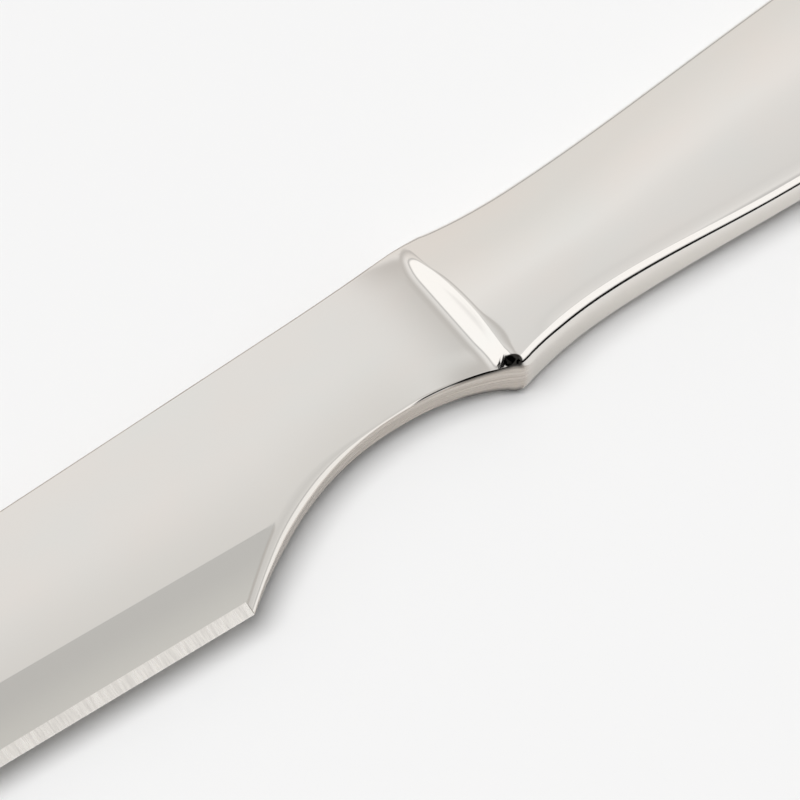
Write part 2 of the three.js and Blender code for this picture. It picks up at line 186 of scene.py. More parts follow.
ramp = tent.nodes.new("ShaderNodeValToRGB")
ramp_place = tent.nodes.new("ShaderNodeMapRange")
first_angle = tent_stops[0][0]
last_angle = tent_stops[-1][0]
ramp_place.inputs["From Min"].default_value = first_angle
ramp_place.inputs["From Max"].default_value = last_angle
tent.links.new(over, ramp_place.inputs["Value"])
tent.links.new(ramp_place.outputs["Result"], ramp.inputs["Fac"])
while len(ramp.color_ramp.elements) < len(tent_stops):
    ramp.color_ramp.elements.new(1.0)
for element, (angle, colour) in zip(ramp.color_ramp.elements, tent_stops):
    element.position = (angle - first_angle) / (last_angle - first_angle)
    element.color = colour

rise = math_step(tent, "DEGREES", math_step(tent, "ARCSINE", axes.outputs["Z"]))
in_softbox = patch(
    tent,
    fade(tent, over, *softbox_top),
    fade(tent, over, *softbox_foot),
    fade(tent, swing, *softbox_side),
)
in_wall = patch(tent, fade(tent, axes.outputs["X"], *wall_along), fade(tent, swing, *wall_side))
low_flag = patch(
    tent,
    fade(tent, over, *low_flag_top),
    fade(tent, swing, *low_flag_left),
    fade(tent, swing, *low_flag_right),
)
neck_slot = patch(tent, fade(tent, swing, *neck_slot_left), fade(tent, swing, *neck_slot_right))
neck_flag = patch(
    tent,
    fade(tent, over, *neck_flag_top),
    math_step(tent, "MAXIMUM", fade(tent, over, *neck_flag_foot), neck_slot),
    fade(tent, swing, *neck_flag_left),
    fade(tent, swing, *neck_flag_right),
)
end_whole = math_step(tent, "MAXIMUM", fade(tent, rise, *end_flag_foot), fade(tent, swing, *end_flag_whole))
end_flag = patch(
    tent,
    fade(tent, axes.outputs["X"], *end_flag_along),
    fade(tent, swing, *end_flag_left),
    fade(tent, swing, *end_flag_right),
    math_step(tent, "MAXIMUM", end_whole, end_foot),
)
front_flag = math_step(tent, "MAXIMUM", low_flag, neck_flag)
in_flag = math_step(tent, "MAXIMUM", front_flag, end_flag)
in_halo = patch(
    tent,
    fade(tent, axes.outputs["X"], *halo_front_along),
    fade(tent, axes.outputs["X"], *halo_back_along),
)
on_wall_edge = patch(
    tent,
    fade(tent, axes.outputs["X"], *wall_edge_along),
    fade(tent, swing, *wall_edge_side),
)

tent_colour = mix_colour(tent, in_halo, ramp.outputs["Color"], halo_grey)
tent_colour = mix_colour(tent, on_wall_edge, tent_colour, wall_edge_grey)
tent_colour = mix_colour(tent, in_softbox, tent_colour, softbox_white)
wall_colour = mix_colour(tent, fade(tent, rise, *wall_brighter), wall_foot, wall_white)
tent_colour = mix_colour(tent, in_wall, tent_colour, wall_colour)
tent_colour = mix_colour(tent, in_flag, tent_colour, flag_black)
ray = tent.nodes.new("ShaderNodeLightPath")
tent_colour = mix_colour(tent, ray.outputs["Is Camera Ray"], tent_colour, backdrop_white)
tent.links.new(tent_colour, tent_background.inputs["Color"])
dimmed = math_step(tent, "MULTIPLY", ray.outputs["Is Diffuse Ray"], 1 - tent_on_table)
tent.links.new(math_step(tent, "SUBTRACT", 1.0, dimmed), tent_background.inputs["Strength"])
bpy.context.scene.world = studio
bpy.context.scene.view_settings.view_transform = "Standard"

lamp_spread = math.radians(50)
lamp_direction = Vector((-0.35, 0.03, 1.0))
lamp_strength = 2.31
bpy.ops.object.light_add(type="SUN", location=lamp_direction)
lamp = bpy.context.object
lamp.name = "overhead_lamp"
lamp.data.angle = lamp_spread
lamp.data.energy = lamp_strength
lamp.rotation_euler = lamp_direction.to_track_quat("Z", "Y").to_euler()
lamp.visible_glossy = False


# Blade
# One forging of hardened stainless steel, with the coved bolster and its beak behind the neck.
# The sides are polished flat, the bevel and the edge are ground, and a spigot and a tang behind
# the bolster go into the handle, where they are brazed and cemented.

mm = 0.001
blade_length = 115
blade_thickness = 2.3
tip_thickness = 1.2
tip_depth = 8
tip_land = 0.4
tip_spine_slope = 0.36
tip_edge_slope = -0.62
spine_straight = 68
spine_round = 0.2
heel_setback = 31.3
heel_depth = 19.6
edge_straight = 46
edge_rise = 2.4
edge_thickness = 0.12
edge_band_width = 1.1
edge_band_thickness = 0.85
bevel_width = 5.55
bevel_widening = 0.012
bevel_share_at_tip = 0.6

choil_slope = 0.74
choil_round = 3.0
choil_round_heel = 2.4
choil_round_length = 8
neck_setback = 12.6
neck_depth = 12.4
choil_finish_heel = math.radians(26)
choil_finish = math.radians(29.5)
choil_end_finish = math.radians(38)
choil_end = 11.5
neck_round = 0.45
neck_round_back = 0.2
neck_finish = math.radians(60)
neck_finish_start = 8.5
neck_flare = 0.5
neck_flare_length = 11
neck_swell_spine = 0.04
neck_swell_belly = 0.1
neck_swell_length = 5
neck_swell_width = 3

cove_setback = 3.1
cove_radius = 2.6
cove_land = 0.6
cove_runout = 3.6
cove_runout_bend = 0.1
ridge_round = 0.3
ridge_round_spine = 0.28
ridge_round_from = 0.35
ridge_radius = 1.2
ridge_radius_widest = 7
ridge_radius_belly = 4
ridge_shoulder = 0.5
ridge_shoulder_widest = 1.5
ridge_shoulder_belly = 0.8
ridge_widening = 0.6
ridge_widest = 0.8
ridge_narrowed = 0.95
ridge_bend_start = 0.12
ridge_bend_full = 0.4
ridge_bend_limit = 1.2
ridge_halvings = 24
ridge_places = 200
beak_setback = 0.29
beak_depth = 15.4
beak_front = 1.5
beak_rise = 0.7
beak_front_slope = -0.5
beak_back = 1.2
beak_back_rise = 0.23
beak_back_slope = 0.2
beak_round = 0.15
beak_fall = 0.55
beak_fall_width = 3
beak_fall_power = 2
beak_fall_end = -0.5
beak_fall_full = -1.7
beak_fall_slope = -1.0
beak_turn_start = -1.9
beak_turn_end = 0.15
shoulder_x = 0.9

handle_length = 108
corner_slope = -0.2
waist_x = 9
waist_spine_depth = 0.8
waist_belly_depth = 14.35
grip_x = 27
grip_spine_depth = 0.05
grip_spine_slope = 0.063
grip_belly_depth = 15.4
grip_belly_slope = -0.062
palm_x = 86
palm_spine_height = 1.9
palm_belly_depth = 17.6
butt_squareness = 2.3
butt_round = 5

spine_half_front = 1.65
spine_half_grip = 1.6
middle_half_front = 2.915
middle_half_grip = 2.45
middle_half_palm = 2.9
belly_half_front = 2.48
belly_half_waist = 2.4
belly_half_grip = 1.75
handle_spine_round = 0.8
handle_belly_round = 1.3
palm_belly_round = 1.0
belly_roll_reach = 2.05
belly_roll_radius = 7.5
belly_roll_start = 1.2
belly_roll_full = 4
handle_belly_break = math.radians(20)

wall = 0.9
braze_thickness = 0.3
fit_gap = 0.2
spigot_length = 2.5
tang_length = 58
tang_depth = 7.6
tang_width_front = 6
tang_width_end = 4.2
tang_thickness_front = 2
tang_thickness_end = 1.2

wall_columns = 3
arc_columns = 12
flat_columns = 46
bevel_columns = 18
face_columns = flat_columns + bevel_columns

blade_low, blade_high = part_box("blade")
seam_low, seam_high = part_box("seam_braze")
bolster_corner = Vector((blade_low.x + blade_length * mm, blade_high.y, (seam_low.z + seam_high.z) / 2))
edge_slope = -edge_rise / edge_straight
mouth_x = shoulder_x + braze_thickness


def lerp(start, end, share):
    return start + (end - start) * share


def steps(start, end, count):
    """Places from start up to, and not with, the end."""
    return [lerp(start, end, i / count) for i in range(count)]


def curve_through(*knots):
    """A smooth curve through knots (x, y, slope). A fourth number is the slope on leaving a corner."""
    def height(x):
        i = 0
        while i < len(knots) - 2 and x > knots[i + 1][0]:
            i += 1
        x0, y0 = knots[i][:2]
        leaving = knots[i][-1]
        x1, y1, arriving = knots[i + 1][:3]
        span = x1 - x0
        t = min(max((x - x0) / span, 0), 1)
        rise = (3 - 2 * t) * t * t
        return lerp(y0, y1, rise) + span * (leaving * t * (1 - t) ** 2 - arriving * t * t * (1 - t))
    return height


spine_line = curve_through(
    (-blade_length, -tip_depth, tip_spine_slope),
    (-spine_straight, 0, 0),
    (0, 0, 0, corner_slope),
    (waist_x, -waist_spine_depth, 0),
    (grip_x, -grip_spine_depth, grip_spine_slope),
    (palm_x, palm_spine_height, 0),
)
belly_line = curve_through(
    (-blade_length, -tip_depth - tip_land, tip_edge_slope),
    (-heel_setback - edge_straight, -heel_depth + edge_rise, edge_slope),
    (-heel_setback, -heel_depth, edge_slope, choil_slope),
    (-neck_setback, -neck_depth, 0),
    (-beak_setback - beak_front, -beak_depth + beak_rise, beak_front_slope),
    (-beak_setback, -beak_depth, 0),
    (-beak_setback + beak_back, -beak_depth + beak_back_rise, beak_back_slope),
    (waist_x, -waist_belly_depth, 0),
    (grip_x, -grip_belly_depth, grip_belly_slope),
    (palm_x, -palm_belly_depth, 0),
)
flat_half = curve_through(
    (-blade_length, tip_thickness / 2, 0),
    (-heel_setback - edge_straight, blade_thickness / 2, 0),
)
spine_half = curve_through(
    (0, spine_half_front, 0),
    (waist_x, spine_half_grip, 0),
)
middle_half = curve_through(
    (-cove_setback, middle_half_front, 0),
    (0, middle_half_front, 0),
    (grip_x, middle_half_grip, 0),
    (palm_x, middle_half_palm, 0),
)
belly_half = curve_through(
    (-cove_setback, belly_half_front, 0),
    (shoulder_x, belly_half_front, 0),
    (waist_x, belly_half_waist, 0),
    (grip_x, belly_half_grip, 0),
    (palm_x, spine_half_grip, 0),
)
belly_roll = curve_through((belly_roll_start, 0, 0), (belly_roll_full, 1, 0))
belly_round_down = curve_through((waist_x, handle_belly_round, 0), (grip_x, palm_belly_round, 0))


def crown_height(x, across):
    """Side of the handle, crowned between its spine edge (across = 0) and its belly edge (across = 1).
    Behind the bolster it rolls over a little more along the belly."""
    bulge = middle_half(x) - (spine_half(x) + belly_half(x)) / 2
    crown = lerp(spine_half(x), belly_half(x), across) + 4 * bulge * across * (1 - across)
    inside = (1 - across) * (spine_line(x) - belly_line(x))
    return crown - belly_roll(x) * max(belly_roll_reach - inside, 0) ** 2 / (2 * belly_roll_radius)


def swelling(x, length):
    """Share of its full height that the neck has swollen to, bending over a length in front of the cove."""
    bend = max(x + cove_setback + length, 0) / length
    return bend ** 2 if bend < 1 else 2 * bend - 1


spine_swell = curve_through((0, neck_swell_spine, 0), (neck_swell_width, 0, 0))
belly_swell = curve_through((0, neck_swell_belly, 0), (neck_swell_width, 0, 0))
cove_tilt = math.atan(2 * neck_flare / neck_flare_length)
cove_centre_x = -cove_setback - cove_radius * math.sin(cove_tilt)
cove_centre_z = blade_thickness / 2 + neck_flare + cove_radius * math.cos(cove_tilt)


def front_height(x, y):
    """The flared neck and the round hollow behind it, which runs out backwards near the spine."""
    swell = spine_swell(spine_line(x) - y) + belly_swell(y - belly_line(x))
    swell *= swelling(x, neck_swell_length)
    shift = cove_runout_bend * max(cove_runout + y, 0) ** 2
    if x + cove_setback < shift:
        return blade_thickness / 2 + neck_flare * swelling(x, neck_flare_length) + swell
    run = x - shift - cove_centre_x
    hollow = cove_centre_z - math.sqrt(max(cove_radius ** 2 - run ** 2, 0))
    return hollow + shift * math.tan(cove_tilt) + swell


def smooth_least(first, second, blend):
    """The lesser of two heights, with the corner between them rounded."""
    overlap = max(blend - abs(first - second), 0) / blend
    return min(first, second) - overlap * overlap * blend / 4


beak_fall_at = curve_through((beak_fall_full, beak_fall, beak_fall_slope), (beak_fall_end, 0, 0))


def side_height(x, y):
    """The crowned side of the bolster, rounded off above the beak."""
    across = (spine_line(x) - y) / (spine_line(x) - belly_line(x))
    inside = max(1 - (y - belly_line(x)) / beak_fall_width, 0)
    return crown_height(x, across) - beak_fall_at(x) * inside ** beak_fall_power


def ridge_x(across):
    """Where the cove breaks out through the side, found by halving."""
    low = -cove_setback
    high = shoulder_x
    for _ in range(ridge_halvings):
        x = (low + high) / 2
        y = lerp(spine_line(x), belly_line(x), across)
        if front_height(x, y) < side_height(x, y):
            low = x
        else:
            high = x
    return max(x, -cove_setback + cove_land)


ridge_table = [ridge_x(i / ridge_places) for i in range(ridge_places + 1)]


def ridge_at(across):
    place = min(max(across, 0), 1) * ridge_places
    i = min(int(place), ridge_places - 1)
    return lerp(ridge_table[i], ridge_table[i + 1], place - i)


ridge_blend = curve_through((0, ridge_round_spine, 0), (ridge_round_from, ridge_round, 0))
ridge_bend = curve_through((ridge_bend_start, 0, 0), (ridge_bend_full, 1, 0))
ridge_shoulder_at = curve_through(
    (ridge_widening, ridge_shoulder, 0),
    (ridge_widest, ridge_shoulder_widest, 0),
    (ridge_narrowed, ridge_shoulder_belly, 0),
)
ridge_radius_at = curve_through(
    (ridge_widening, ridge_radius, 0),
    (ridge_widest, ridge_radius_widest, 0),
    (ridge_narrowed, ridge_radius_belly, 0),
)


def bolster_height(x, y):
    """The side, bent down a little where it comes to the ridge."""
    across = (spine_line(x) - y) / (spine_line(x) - belly_line(x))
    shoulder = ridge_shoulder_at(across)
    bent = min(max(ridge_at(across) + shoulder - x, 0), shoulder * ridge_bend_limit)
    return side_height(x, y) - ridge_bend(across) * bent ** 2 / (2 * ridge_radius_at(across))


belly_round = curve_through(
    (-heel_setback, choil_round_heel, 0),
    (-heel_setback + choil_round_length, choil_round, 0),
    (-neck_setback, neck_round, 0),
    (-cove_setback, neck_round_back, 0),
    (beak_turn_start, beak_round, 0),
    (beak_turn_end, handle_belly_round, 0),
)
belly_finish = curve_through(
    (-heel_setback, choil_finish_heel, 0),
    (-heel_setback + choil_round_length, choil_finish, 0),
    (-choil_end, choil_end_finish, 0),
    (-neck_finish_start, neck_finish, 0),
    (beak_turn_start, neck_finish, 0),
    (beak_turn_end, math.pi / 2, 0),
)
belly_break = curve_through(
    (beak_turn_start, 0, 0),
    (beak_turn_end, handle_belly_break, 0),
)
spine_rounding = curve_through(
    (-cove_setback, spine_round, 0),
    (shoulder_x, handle_spine_round, 0),
)


def bevel_line(x):
    """Top line of the ground bevel. Behind the heel it runs on straight until the choil cuts it off."""
    to_heel = -heel_setback - x
    edge = belly_line(x) if to_heel > 0 else -heel_depth - edge_slope * to_heel
    return edge + min(bevel_width + bevel_widening * to_heel, bevel_share_at_tip * (spine_line(x) - edge))


def bevel_height(x, y):
    width = min(bevel_width, bevel_share_at_tip * (spine_line(x) - belly_line(x))) - edge_band_width
    drop = flat_half(x) - edge_band_thickness / 2
    below = max(bevel_line(x) - y, 0) if x < -neck_setback else 0
    return flat_half(x) - drop * below / max(width, edge_band_width)


def blade_height(x, y):
    if x < -cove_setback - neck_flare_length:
        return max(bevel_height(x, y), edge_thickness / 2)
    across = (spine_line(x) - y) / (spine_line(x) - belly_line(x))
    return smooth_least(front_height(x, y), bolster_height(x, y), ridge_blend(across))


def edge_arc(edge_y, inward, radius, start, finish, face_z, least):
    """Points (y, z) of a rounded edge, from the side's face at the start angle round to the wall."""
    drop = radius * (math.cos(start) - math.cos(finish))
    squeeze = min((face_z - least) / drop, 1)
    points = []
    for angle in steps(start, finish, arc_columns)[1:] + [finish]:
        y = edge_y + inward * radius * (math.sin(finish) - math.sin(angle))
        points.append((y, face_z - squeeze * radius * (math.cos(start) - math.cos(angle))))
    return points


def wall_points(top_z, floor_z):
    return [lerp(top_z, floor_z, (i + 1) / wall_columns) for i in range(wall_columns)]


def eased(share, evenness=0.2):
    """Draw shares of a width closer together at both ends."""
    return share - (1 - evenness) * math.sin(2 * math.pi * share) / (2 * math.pi)


bevel_share_most = 0.97
bevel_share_limit = curve_through(
    (-heel_setback + choil_round_length, bevel_share_most, 0),
    (-cove_setback, flat_columns / face_columns, 0),
)


def tilt_of(height, y, towards):
    """How steeply a side falls at its edge, as an angle."""
    small_step = 0.02
    return max(math.atan((height(y) - height(y + towards * small_step)) / small_step), 0)


least_turn = 0.05


def blade_ring(station):
    """Upper half of the blade's section, from the middle of the spine to the middle of the belly.
    A station gives its x for each place across, so that the rings round the cove follow the ridge."""
    at_spine = station(0)
    at_belly = station(1)
    spine_y = spine_line(at_spine)
    belly_y = belly_line(at_belly)
    on_edge = at_belly < -heel_setback
    depth = spine_y - belly_y

    top_radius = min(spine_rounding(at_spine), depth / 4)
    top_tilt = 0
    if at_spine > -cove_setback - neck_flare_length:
        top_tilt = tilt_of(lambda y: blade_height(at_spine, y), spine_y - top_radius, 1)
    top_y = spine_y - top_radius * (1 - math.sin(top_tilt))
    top_z = blade_height(at_spine, top_y)

    low_finish = belly_finish(at_belly)
    low_radius = min(edge_band_width if on_edge else belly_round(at_belly), depth / 4)
    low_tilt = 0
    if at_belly > -cove_setback:
        own_tilt = tilt_of(lambda y: blade_height(at_belly, y), belly_y + low_radius, -1)
        low_tilt = min(max(belly_break(at_belly), own_tilt), low_finish - least_turn)
    low_y = belly_y + low_radius * (math.sin(low_finish) - math.sin(low_tilt))
    if on_edge:
        low_y = belly_y + low_radius
    low_z = blade_height(at_belly, low_y)

    spine_arc = edge_arc(spine_y, -1, top_radius, top_tilt, math.pi / 2, top_z, edge_thickness / 2)
    spine_wall = wall_points(spine_arc[-1][1], 0)
    points = [(at_spine, spine_y, z) for z in reversed(spine_wall)]
    points += [(at_spine, y, z) for y, z in reversed(spine_arc)]

    bevel_share = min((top_y - bevel_line(at_belly)) / (top_y - low_y), bevel_share_limit(at_belly))
    shares = [bevel_share * eased(i / flat_columns) for i in range(flat_columns)]
    shares += [lerp(bevel_share, 1, eased(i / bevel_columns)) for i in range(bevel_columns + 1)]
    for share in shares:
        x = station(share)
        spine_shift = spine_line(x) - spine_y
        belly_shift = belly_line(x) - belly_y
        y = lerp(top_y + spine_shift, low_y + belly_shift, share)
        points.append((x, y, blade_height(x, y)))

    if on_edge:
        band = steps(0, 1, arc_columns)[1:] + [1]
        belly_arc = [(lerp(low_y, belly_y, t), lerp(low_z, edge_thickness / 2, t)) for t in band]
    else:
        belly_arc = edge_arc(belly_y, 1, low_radius, low_tilt, low_finish, low_z, edge_thickness / 2)
    points += [(at_belly, y, z) for y, z in belly_arc]
    points += [(at_belly, belly_y, z) for z in wall_points(belly_arc[-1][1], 0)]
    return points


def handle_edges(x, inset):
    """Spine and belly of the handle's outline, drawn in by an inset. The butt is a rounded oval."""
    back = min(max((x - palm_x) / (handle_length - palm_x - inset), 0), 1)
    shrink = (1 - back ** butt_squareness) ** (1 / butt_squareness)
    middle = (spine_line(x) + belly_line(x)) / 2
    half_width = ((spine_line(x) - belly_line(x)) / 2 - inset) * shrink
    return middle + half_width, middle - half_width


thinnest = 0.02


def handle_ring(x, inset, floor):
    """Upper half of the handle's section above a floor, with as many points as a ring of the blade."""
    spine_y, belly_y = handle_edges(x, inset)
    width = spine_y - belly_y
    into_butt = min(max((x - handle_length + butt_round) / (butt_round - inset), 0), 1)

    def height(y):
        across = (spine_y - y) / width
        side = (crown_height(x, across) - inset) * math.sqrt(1 - into_butt ** 2)
        return max(side, floor)

    thin = max(height((spine_y + belly_y) / 2) - floor, thinnest)
    top_radius = min(handle_spine_round, width / 4, thin)
    top_tilt = tilt_of(height, spine_y - top_radius, 1)
    top_y = spine_y - top_radius * (1 - math.sin(top_tilt))
    low_radius = min(belly_round_down(x), width / 4, thin)
    low_tilt = max(tilt_of(height, belly_y + low_radius, -1), handle_belly_break)
    low_y = belly_y + low_radius * (1 - math.sin(low_tilt))

    spine_arc = edge_arc(spine_y, -1, top_radius, top_tilt, math.pi / 2, height(top_y), floor)
    belly_arc = edge_arc(belly_y, 1, low_radius, low_tilt, math.pi / 2, height(low_y), floor)
    points = [(x, spine_y, z) for z in reversed(wall_points(spine_arc[-1][1], floor))]
    points += [(x, y, z) for y, z in reversed(spine_arc)]
    for i in range(face_columns + 1):
        y = lerp(top_y, low_y, eased(i / face_columns))
        points.append((x, y, height(y)))
    points += [(x, y, z) for y, z in belly_arc]
    points += [(x, belly_y, z) for z in wall_points(belly_arc[-1][1], floor)]
    return points


def bar_ring(x, width, thickness):
    """Upper half of the tang's rectangular section, with as many points as a ring of the blade."""
    side = wall_columns + arc_columns
    half = thickness / 2
    up = [(x, -tang_depth + width / 2, half * i / side) for i in range(side)]
    over_top = [(x, width * (0.5 - i / face_columns) - tang_depth, half) for i in range(face_columns)]
    down = [(x, -tang_depth - width / 2, half * (side - i) / side) for i in range(side + 1)]
    return up + over_top + down


def straight(x):
    return lambda across: x


def from_cove(share, offset):
    """A station between the start of the cove and a line that runs beside the ridge."""
    return lambda across: lerp(-cove_setback, ridge_at(across) - offset, share)


def along_ridge(offset):
    return lambda across: ridge_at(across) + offset


def to_shoulder(share, offset):
    return lambda across: lerp(ridge_at(across) + offset, shoulder_x, share)


def new_sheet(name, rings):
    """A grid with one row for each ring, laid over the rings' points."""
    columns = len(rings[0])
    bpy.ops.object.select_all(action="DESELECT")
    bpy.ops.mesh.primitive_grid_add(x_subdivisions=columns - 1, y_subdivisions=len(rings) - 1)
    sheet = bpy.context.object
    sheet.name = name
    sheet.data.name = name
    for vertex in sheet.data.vertices:
        vertex.co = Vector(rings[vertex.index // columns][vertex.index % columns]) * mm
    return sheet


merge_distance = 1e-7
crease_angle = math.radians(32)


def close_and_place(piece):
    """Merge what meets, close the open ends, turn the faces outwards and move the piece to the frame."""
    bpy.ops.object.mode_set(mode="EDIT")
    bpy.ops.mesh.select_mode(type="VERT")
    bpy.ops.mesh.select_all(action="SELECT")
    bpy.ops.mesh.remove_doubles(threshold=merge_distance)
    bpy.ops.mesh.select_all(action="DESELECT")
    bpy.ops.mesh.select_non_manifold()
    bpy.ops.mesh.fill_holes(sides=0)
    bpy.ops.mesh.select_all(action="SELECT")
    bpy.ops.mesh.normals_make_consistent(inside=False)
    bpy.ops.transform.translate(value=bolster_corner)
    bpy.ops.object.mode_set(mode="OBJECT")
    bpy.ops.object.shade_smooth_by_angle(angle=crease_angle)


def mirror_across_middle(piece):
    bpy.ops.object.modifier_add(type="MIRROR")
    mirror = piece.modifiers[-1]
    mirror.use_axis = (False, False, True)
    mirror.merge_threshold = merge_distance
    bpy.ops.object.modifier_apply(modifier=mirror.name)


heel_gap = 0.004
tip_rings = 30
edge_rings = 24
choil_rings = 62
neck_rings = 26
cove_rings = 16
ridge_rings = 18
shoulder_rings = 14
tip_length = blade_length - heel_setback - edge_straight
blade_stations = [-blade_length + tip_length * t * (2 - t) for t in steps(0, 1, tip_rings)]
blade_stations += steps(-heel_setback - edge_straight, -heel_setback, edge_rings)
blade_stations += [-heel_setback - heel_gap, -heel_setback + heel_gap]
blade_stations += steps(-heel_setback, -neck_setback, choil_rings)[1:]
blade_stations += steps(-neck_setback, -cove_setback, neck_rings)
blade_rings = [blade_ring(straight(x)) for x in blade_stations]
for t in steps(0, 1, cove_rings):
    blade_rings.append(blade_ring(from_cove(math.sin(t * math.pi / 2), ridge_round)))
for offset in steps(-ridge_round, ridge_shoulder, ridge_rings):
    blade_rings.append(blade_ring(along_ridge(offset)))
for t in steps(0, 1, shoulder_rings) + [1]:
    blade_rings.append(blade_ring(to_shoulder(t, ridge_shoulder)))
spigot_end = mouth_x + spigot_length
blade_rings.append(handle_ring(shoulder_x, wall + fit_gap, 0))
blade_rings.append(handle_ring(spigot_end, wall + fit_gap, 0))
blade_rings.append(bar_ring(spigot_end, tang_width_front, tang_thickness_front))
blade_rings.append(bar_ring(shoulder_x + tang_length, tang_width_end, tang_thickness_end))

blade = new_sheet("knife_blade", blade_rings)
# Masks on the blade: some mark its real finishes, others mark where shade and reflections are painted into
# its colour.
for mask_name in ("bevel", "edge", "ground", "painted_shade", "bevel_down", "belly", "line", "corner"):
    blade.data.attributes.new(mask_name, "FLOAT", "POINT")
masks = blade.data.attributes
ring_size = len(blade_rings[0])
flat_start = wall_columns + arc_columns
bevel_start = flat_start + flat_columns
band_start = bevel_start + bevel_columns
belly_start = band_start + arc_columns
ground_end = 0.7
ground_belly = curve_through((-ground_end, 1, 0), (ground_end, 0, 0))
# Painted shade: the belly wall and the lower part of its rounded edge are painted darker, for the darker
# reflection along the belly. It gives way to the ground finish at the beak.
belly_shade_share = curve_through((belly_start - arc_columns / 2, 0, 0), (ring_size - 1, 1, 0))
# Painted reflection: a black line painted along the rounded belly edge of the neck, behind the beak, in
# place of the black flag's reflection there.
line_start = band_start + arc_columns // 3
line_front = 7
line_front_full = 4.5
line_back_full = 0.9
line_back = 0.4
painted_reflection_line = curve_through(
    (-line_front, 0, 0),
    (-line_front_full, 1, 0),
    (-line_back_full, 1, 0),
    (-line_back, 0, 0),
)
# Painted reflection: a small black oval painted in the beak's corner, in place of the black flag's
# reflection there.
reflection_patch_x = -1.18
reflection_patch_y = -14.65
reflection_patch_turn = math.radians(37.3)
reflection_patch_half_length = 0.82
reflection_patch_half_width = 0.52
ground_spine = curve_through((-cove_setback, 1, 0), (shoulder_x, 0, 0))
# Painted shade: the side of the blade is painted darker from its middle down to the bevel, fully as far back
# as the neck, fading out towards the cove.
painted_shade_start = 0.45
painted_shade_towards_bevel = curve_through((painted_shade_start, 0, 0), (1, 1, 1))
painted_shade_until_cove = curve_through((-neck_setback, 1, 0), (-cove_setback, 0, 0))
bevel_margin = 0.01


def into_reflection_patch(x, y):
    """How far a place lies inside the black patch painted in the beak's corner as a painted reflection: 1 in
    its middle, 0 at its rim.
    """
    right = x - reflection_patch_x
    up = y - reflection_patch_y
    along = right * math.cos(reflection_patch_turn) - up * math.sin(reflection_patch_turn)
    beside = right * math.sin(reflection_patch_turn) + up * math.cos(reflection_patch_turn)
    return 1 - math.hypot(along / reflection_patch_half_length, beside / reflection_patch_half_width)


for vertex in blade.data.vertices:
    column = vertex.index % ring_size
    x, y, z = vertex.co / mm
    in_bevel = x < -neck_setback and bevel_start <= column <= band_start and y < bevel_line(x) + bevel_margin
    in_edge = x < -heel_setback and column >= band_start
    ground = 0
    if column < flat_start - 1:
        ground = ground_spine(x)
    elif column >= belly_start and not in_edge:
        ground = ground_belly(x)
    down = (spine_line(x) - y) / (spine_line(x) - max(belly_line(x), bevel_line(x)))
    painted_shade = painted_shade_towards_bevel(down) * painted_shade_until_cove(x)
    masks["bevel"].data[vertex.index].value = float(in_bevel)
    masks["edge"].data[vertex.index].value = float(in_edge)
    masks["ground"].data[vertex.index].value = float(ground)
    masks["painted_shade"].data[vertex.index].value = painted_shade
    masks["bevel_down"].data[vertex.index].value = (bevel_line(x) - y) / bevel_width
    masks["belly"].data[vertex.index].value = belly_shade_share(column) * (1 - ground_belly(x))
    by_belly_edge = line_start <= column <= belly_start
    masks["line"].data[vertex.index].value = painted_reflection_line(x) if by_belly_edge else 0.0
    inside_reflection_patch = max(into_reflection_patch(x, y), -1) if column < belly_start else -1.0
    masks["corner"].data[vertex.index].value = inside_reflection_patch
mirror_across_middle(blade)
close_and_place(blade)


def streaks(tree, scales, detail):
    """Noise drawn out in one direction. The scales are per metre, along x, y and z."""
    coordinates = tree.nodes.new("ShaderNodeTexCoord")
    stretch = tree.nodes.new("ShaderNodeMapping")
    stretch.inputs["Scale"].default_value = scales
    tree.links.new(coordinates.outputs["Object"], stretch.inputs["Vector"])
    noise = tree.nodes.new("ShaderNodeTexNoise")
    noise.inputs["Scale"].default_value = 1.0
    noise.inputs["Detail"].default_value = detail
    tree.links.new(stretch.outputs["Vector"], noise.inputs["Vector"])
    return noise.outputs["Fac"]


def spread(tree, value, low, high):
    """Carry the middle of a noise, 0.3 to 0.7, over to the range low to high."""
    node = tree.nodes.new("ShaderNodeMapRange")
    node.inputs["From Min"].default_value = 0.3
    node.inputs["From Max"].default_value = 0.7
    node.inputs["To Min"].default_value = low
    node.inputs["To Max"].default_value = high
    tree.links.new(value, node.inputs["Value"])
    return node.outputs["Result"]


def mix_value(tree, share, first, second):
    node = tree.nodes.new("ShaderNodeMix")
    node.data_type = "FLOAT"
    for name, value in (("Factor_Float", share), ("A_Float", first), ("B_Float", second)):
        socket = next(s for s in node.inputs if s.identifier == name)
        if isinstance(value, (int, float)):
            socket.default_value = value
        else:
            tree.links.new(value, socket)
    return next(s for s in node.outputs if s.identifier == "Result_Float")


def mask(tree, name):
    node = tree.nodes.new("ShaderNodeAttribute")
    node.attribute_name = name
    return node.outputs["Fac"]


polish = bpy.data.node_groups.new("mirror_polish", "ShaderNodeTree")
polish.interface.new_socket("Colour", in_out="OUTPUT", socket_type="NodeSocketColor")
polish.interface.new_socket("Roughness", in_out="OUTPUT", socket_type="NodeSocketFloat")
polish_out = polish.nodes.new("NodeGroupOutput")
cloud_scales = (90, 160, 160)
hairline_scales = (120, 5000, 5000)
polish_roughest = 0.10
polish_smoothest = 0.07
steel_warm = (0.800, 0.762, 0.722, 1)
steel_cool = (0.778, 0.764, 0.732, 1)
# The darker steel colour painted along the belly as painted shade.
steel_belly_shade = (0.705, 0.672, 0.624, 1)
cloud = streaks(polish, cloud_scales, 2)
hairlines = streaks(polish, hairline_scales, 3)
polish_colour = mix_colour(polish, spread(polish, cloud, 0, 1), steel_cool, steel_warm)
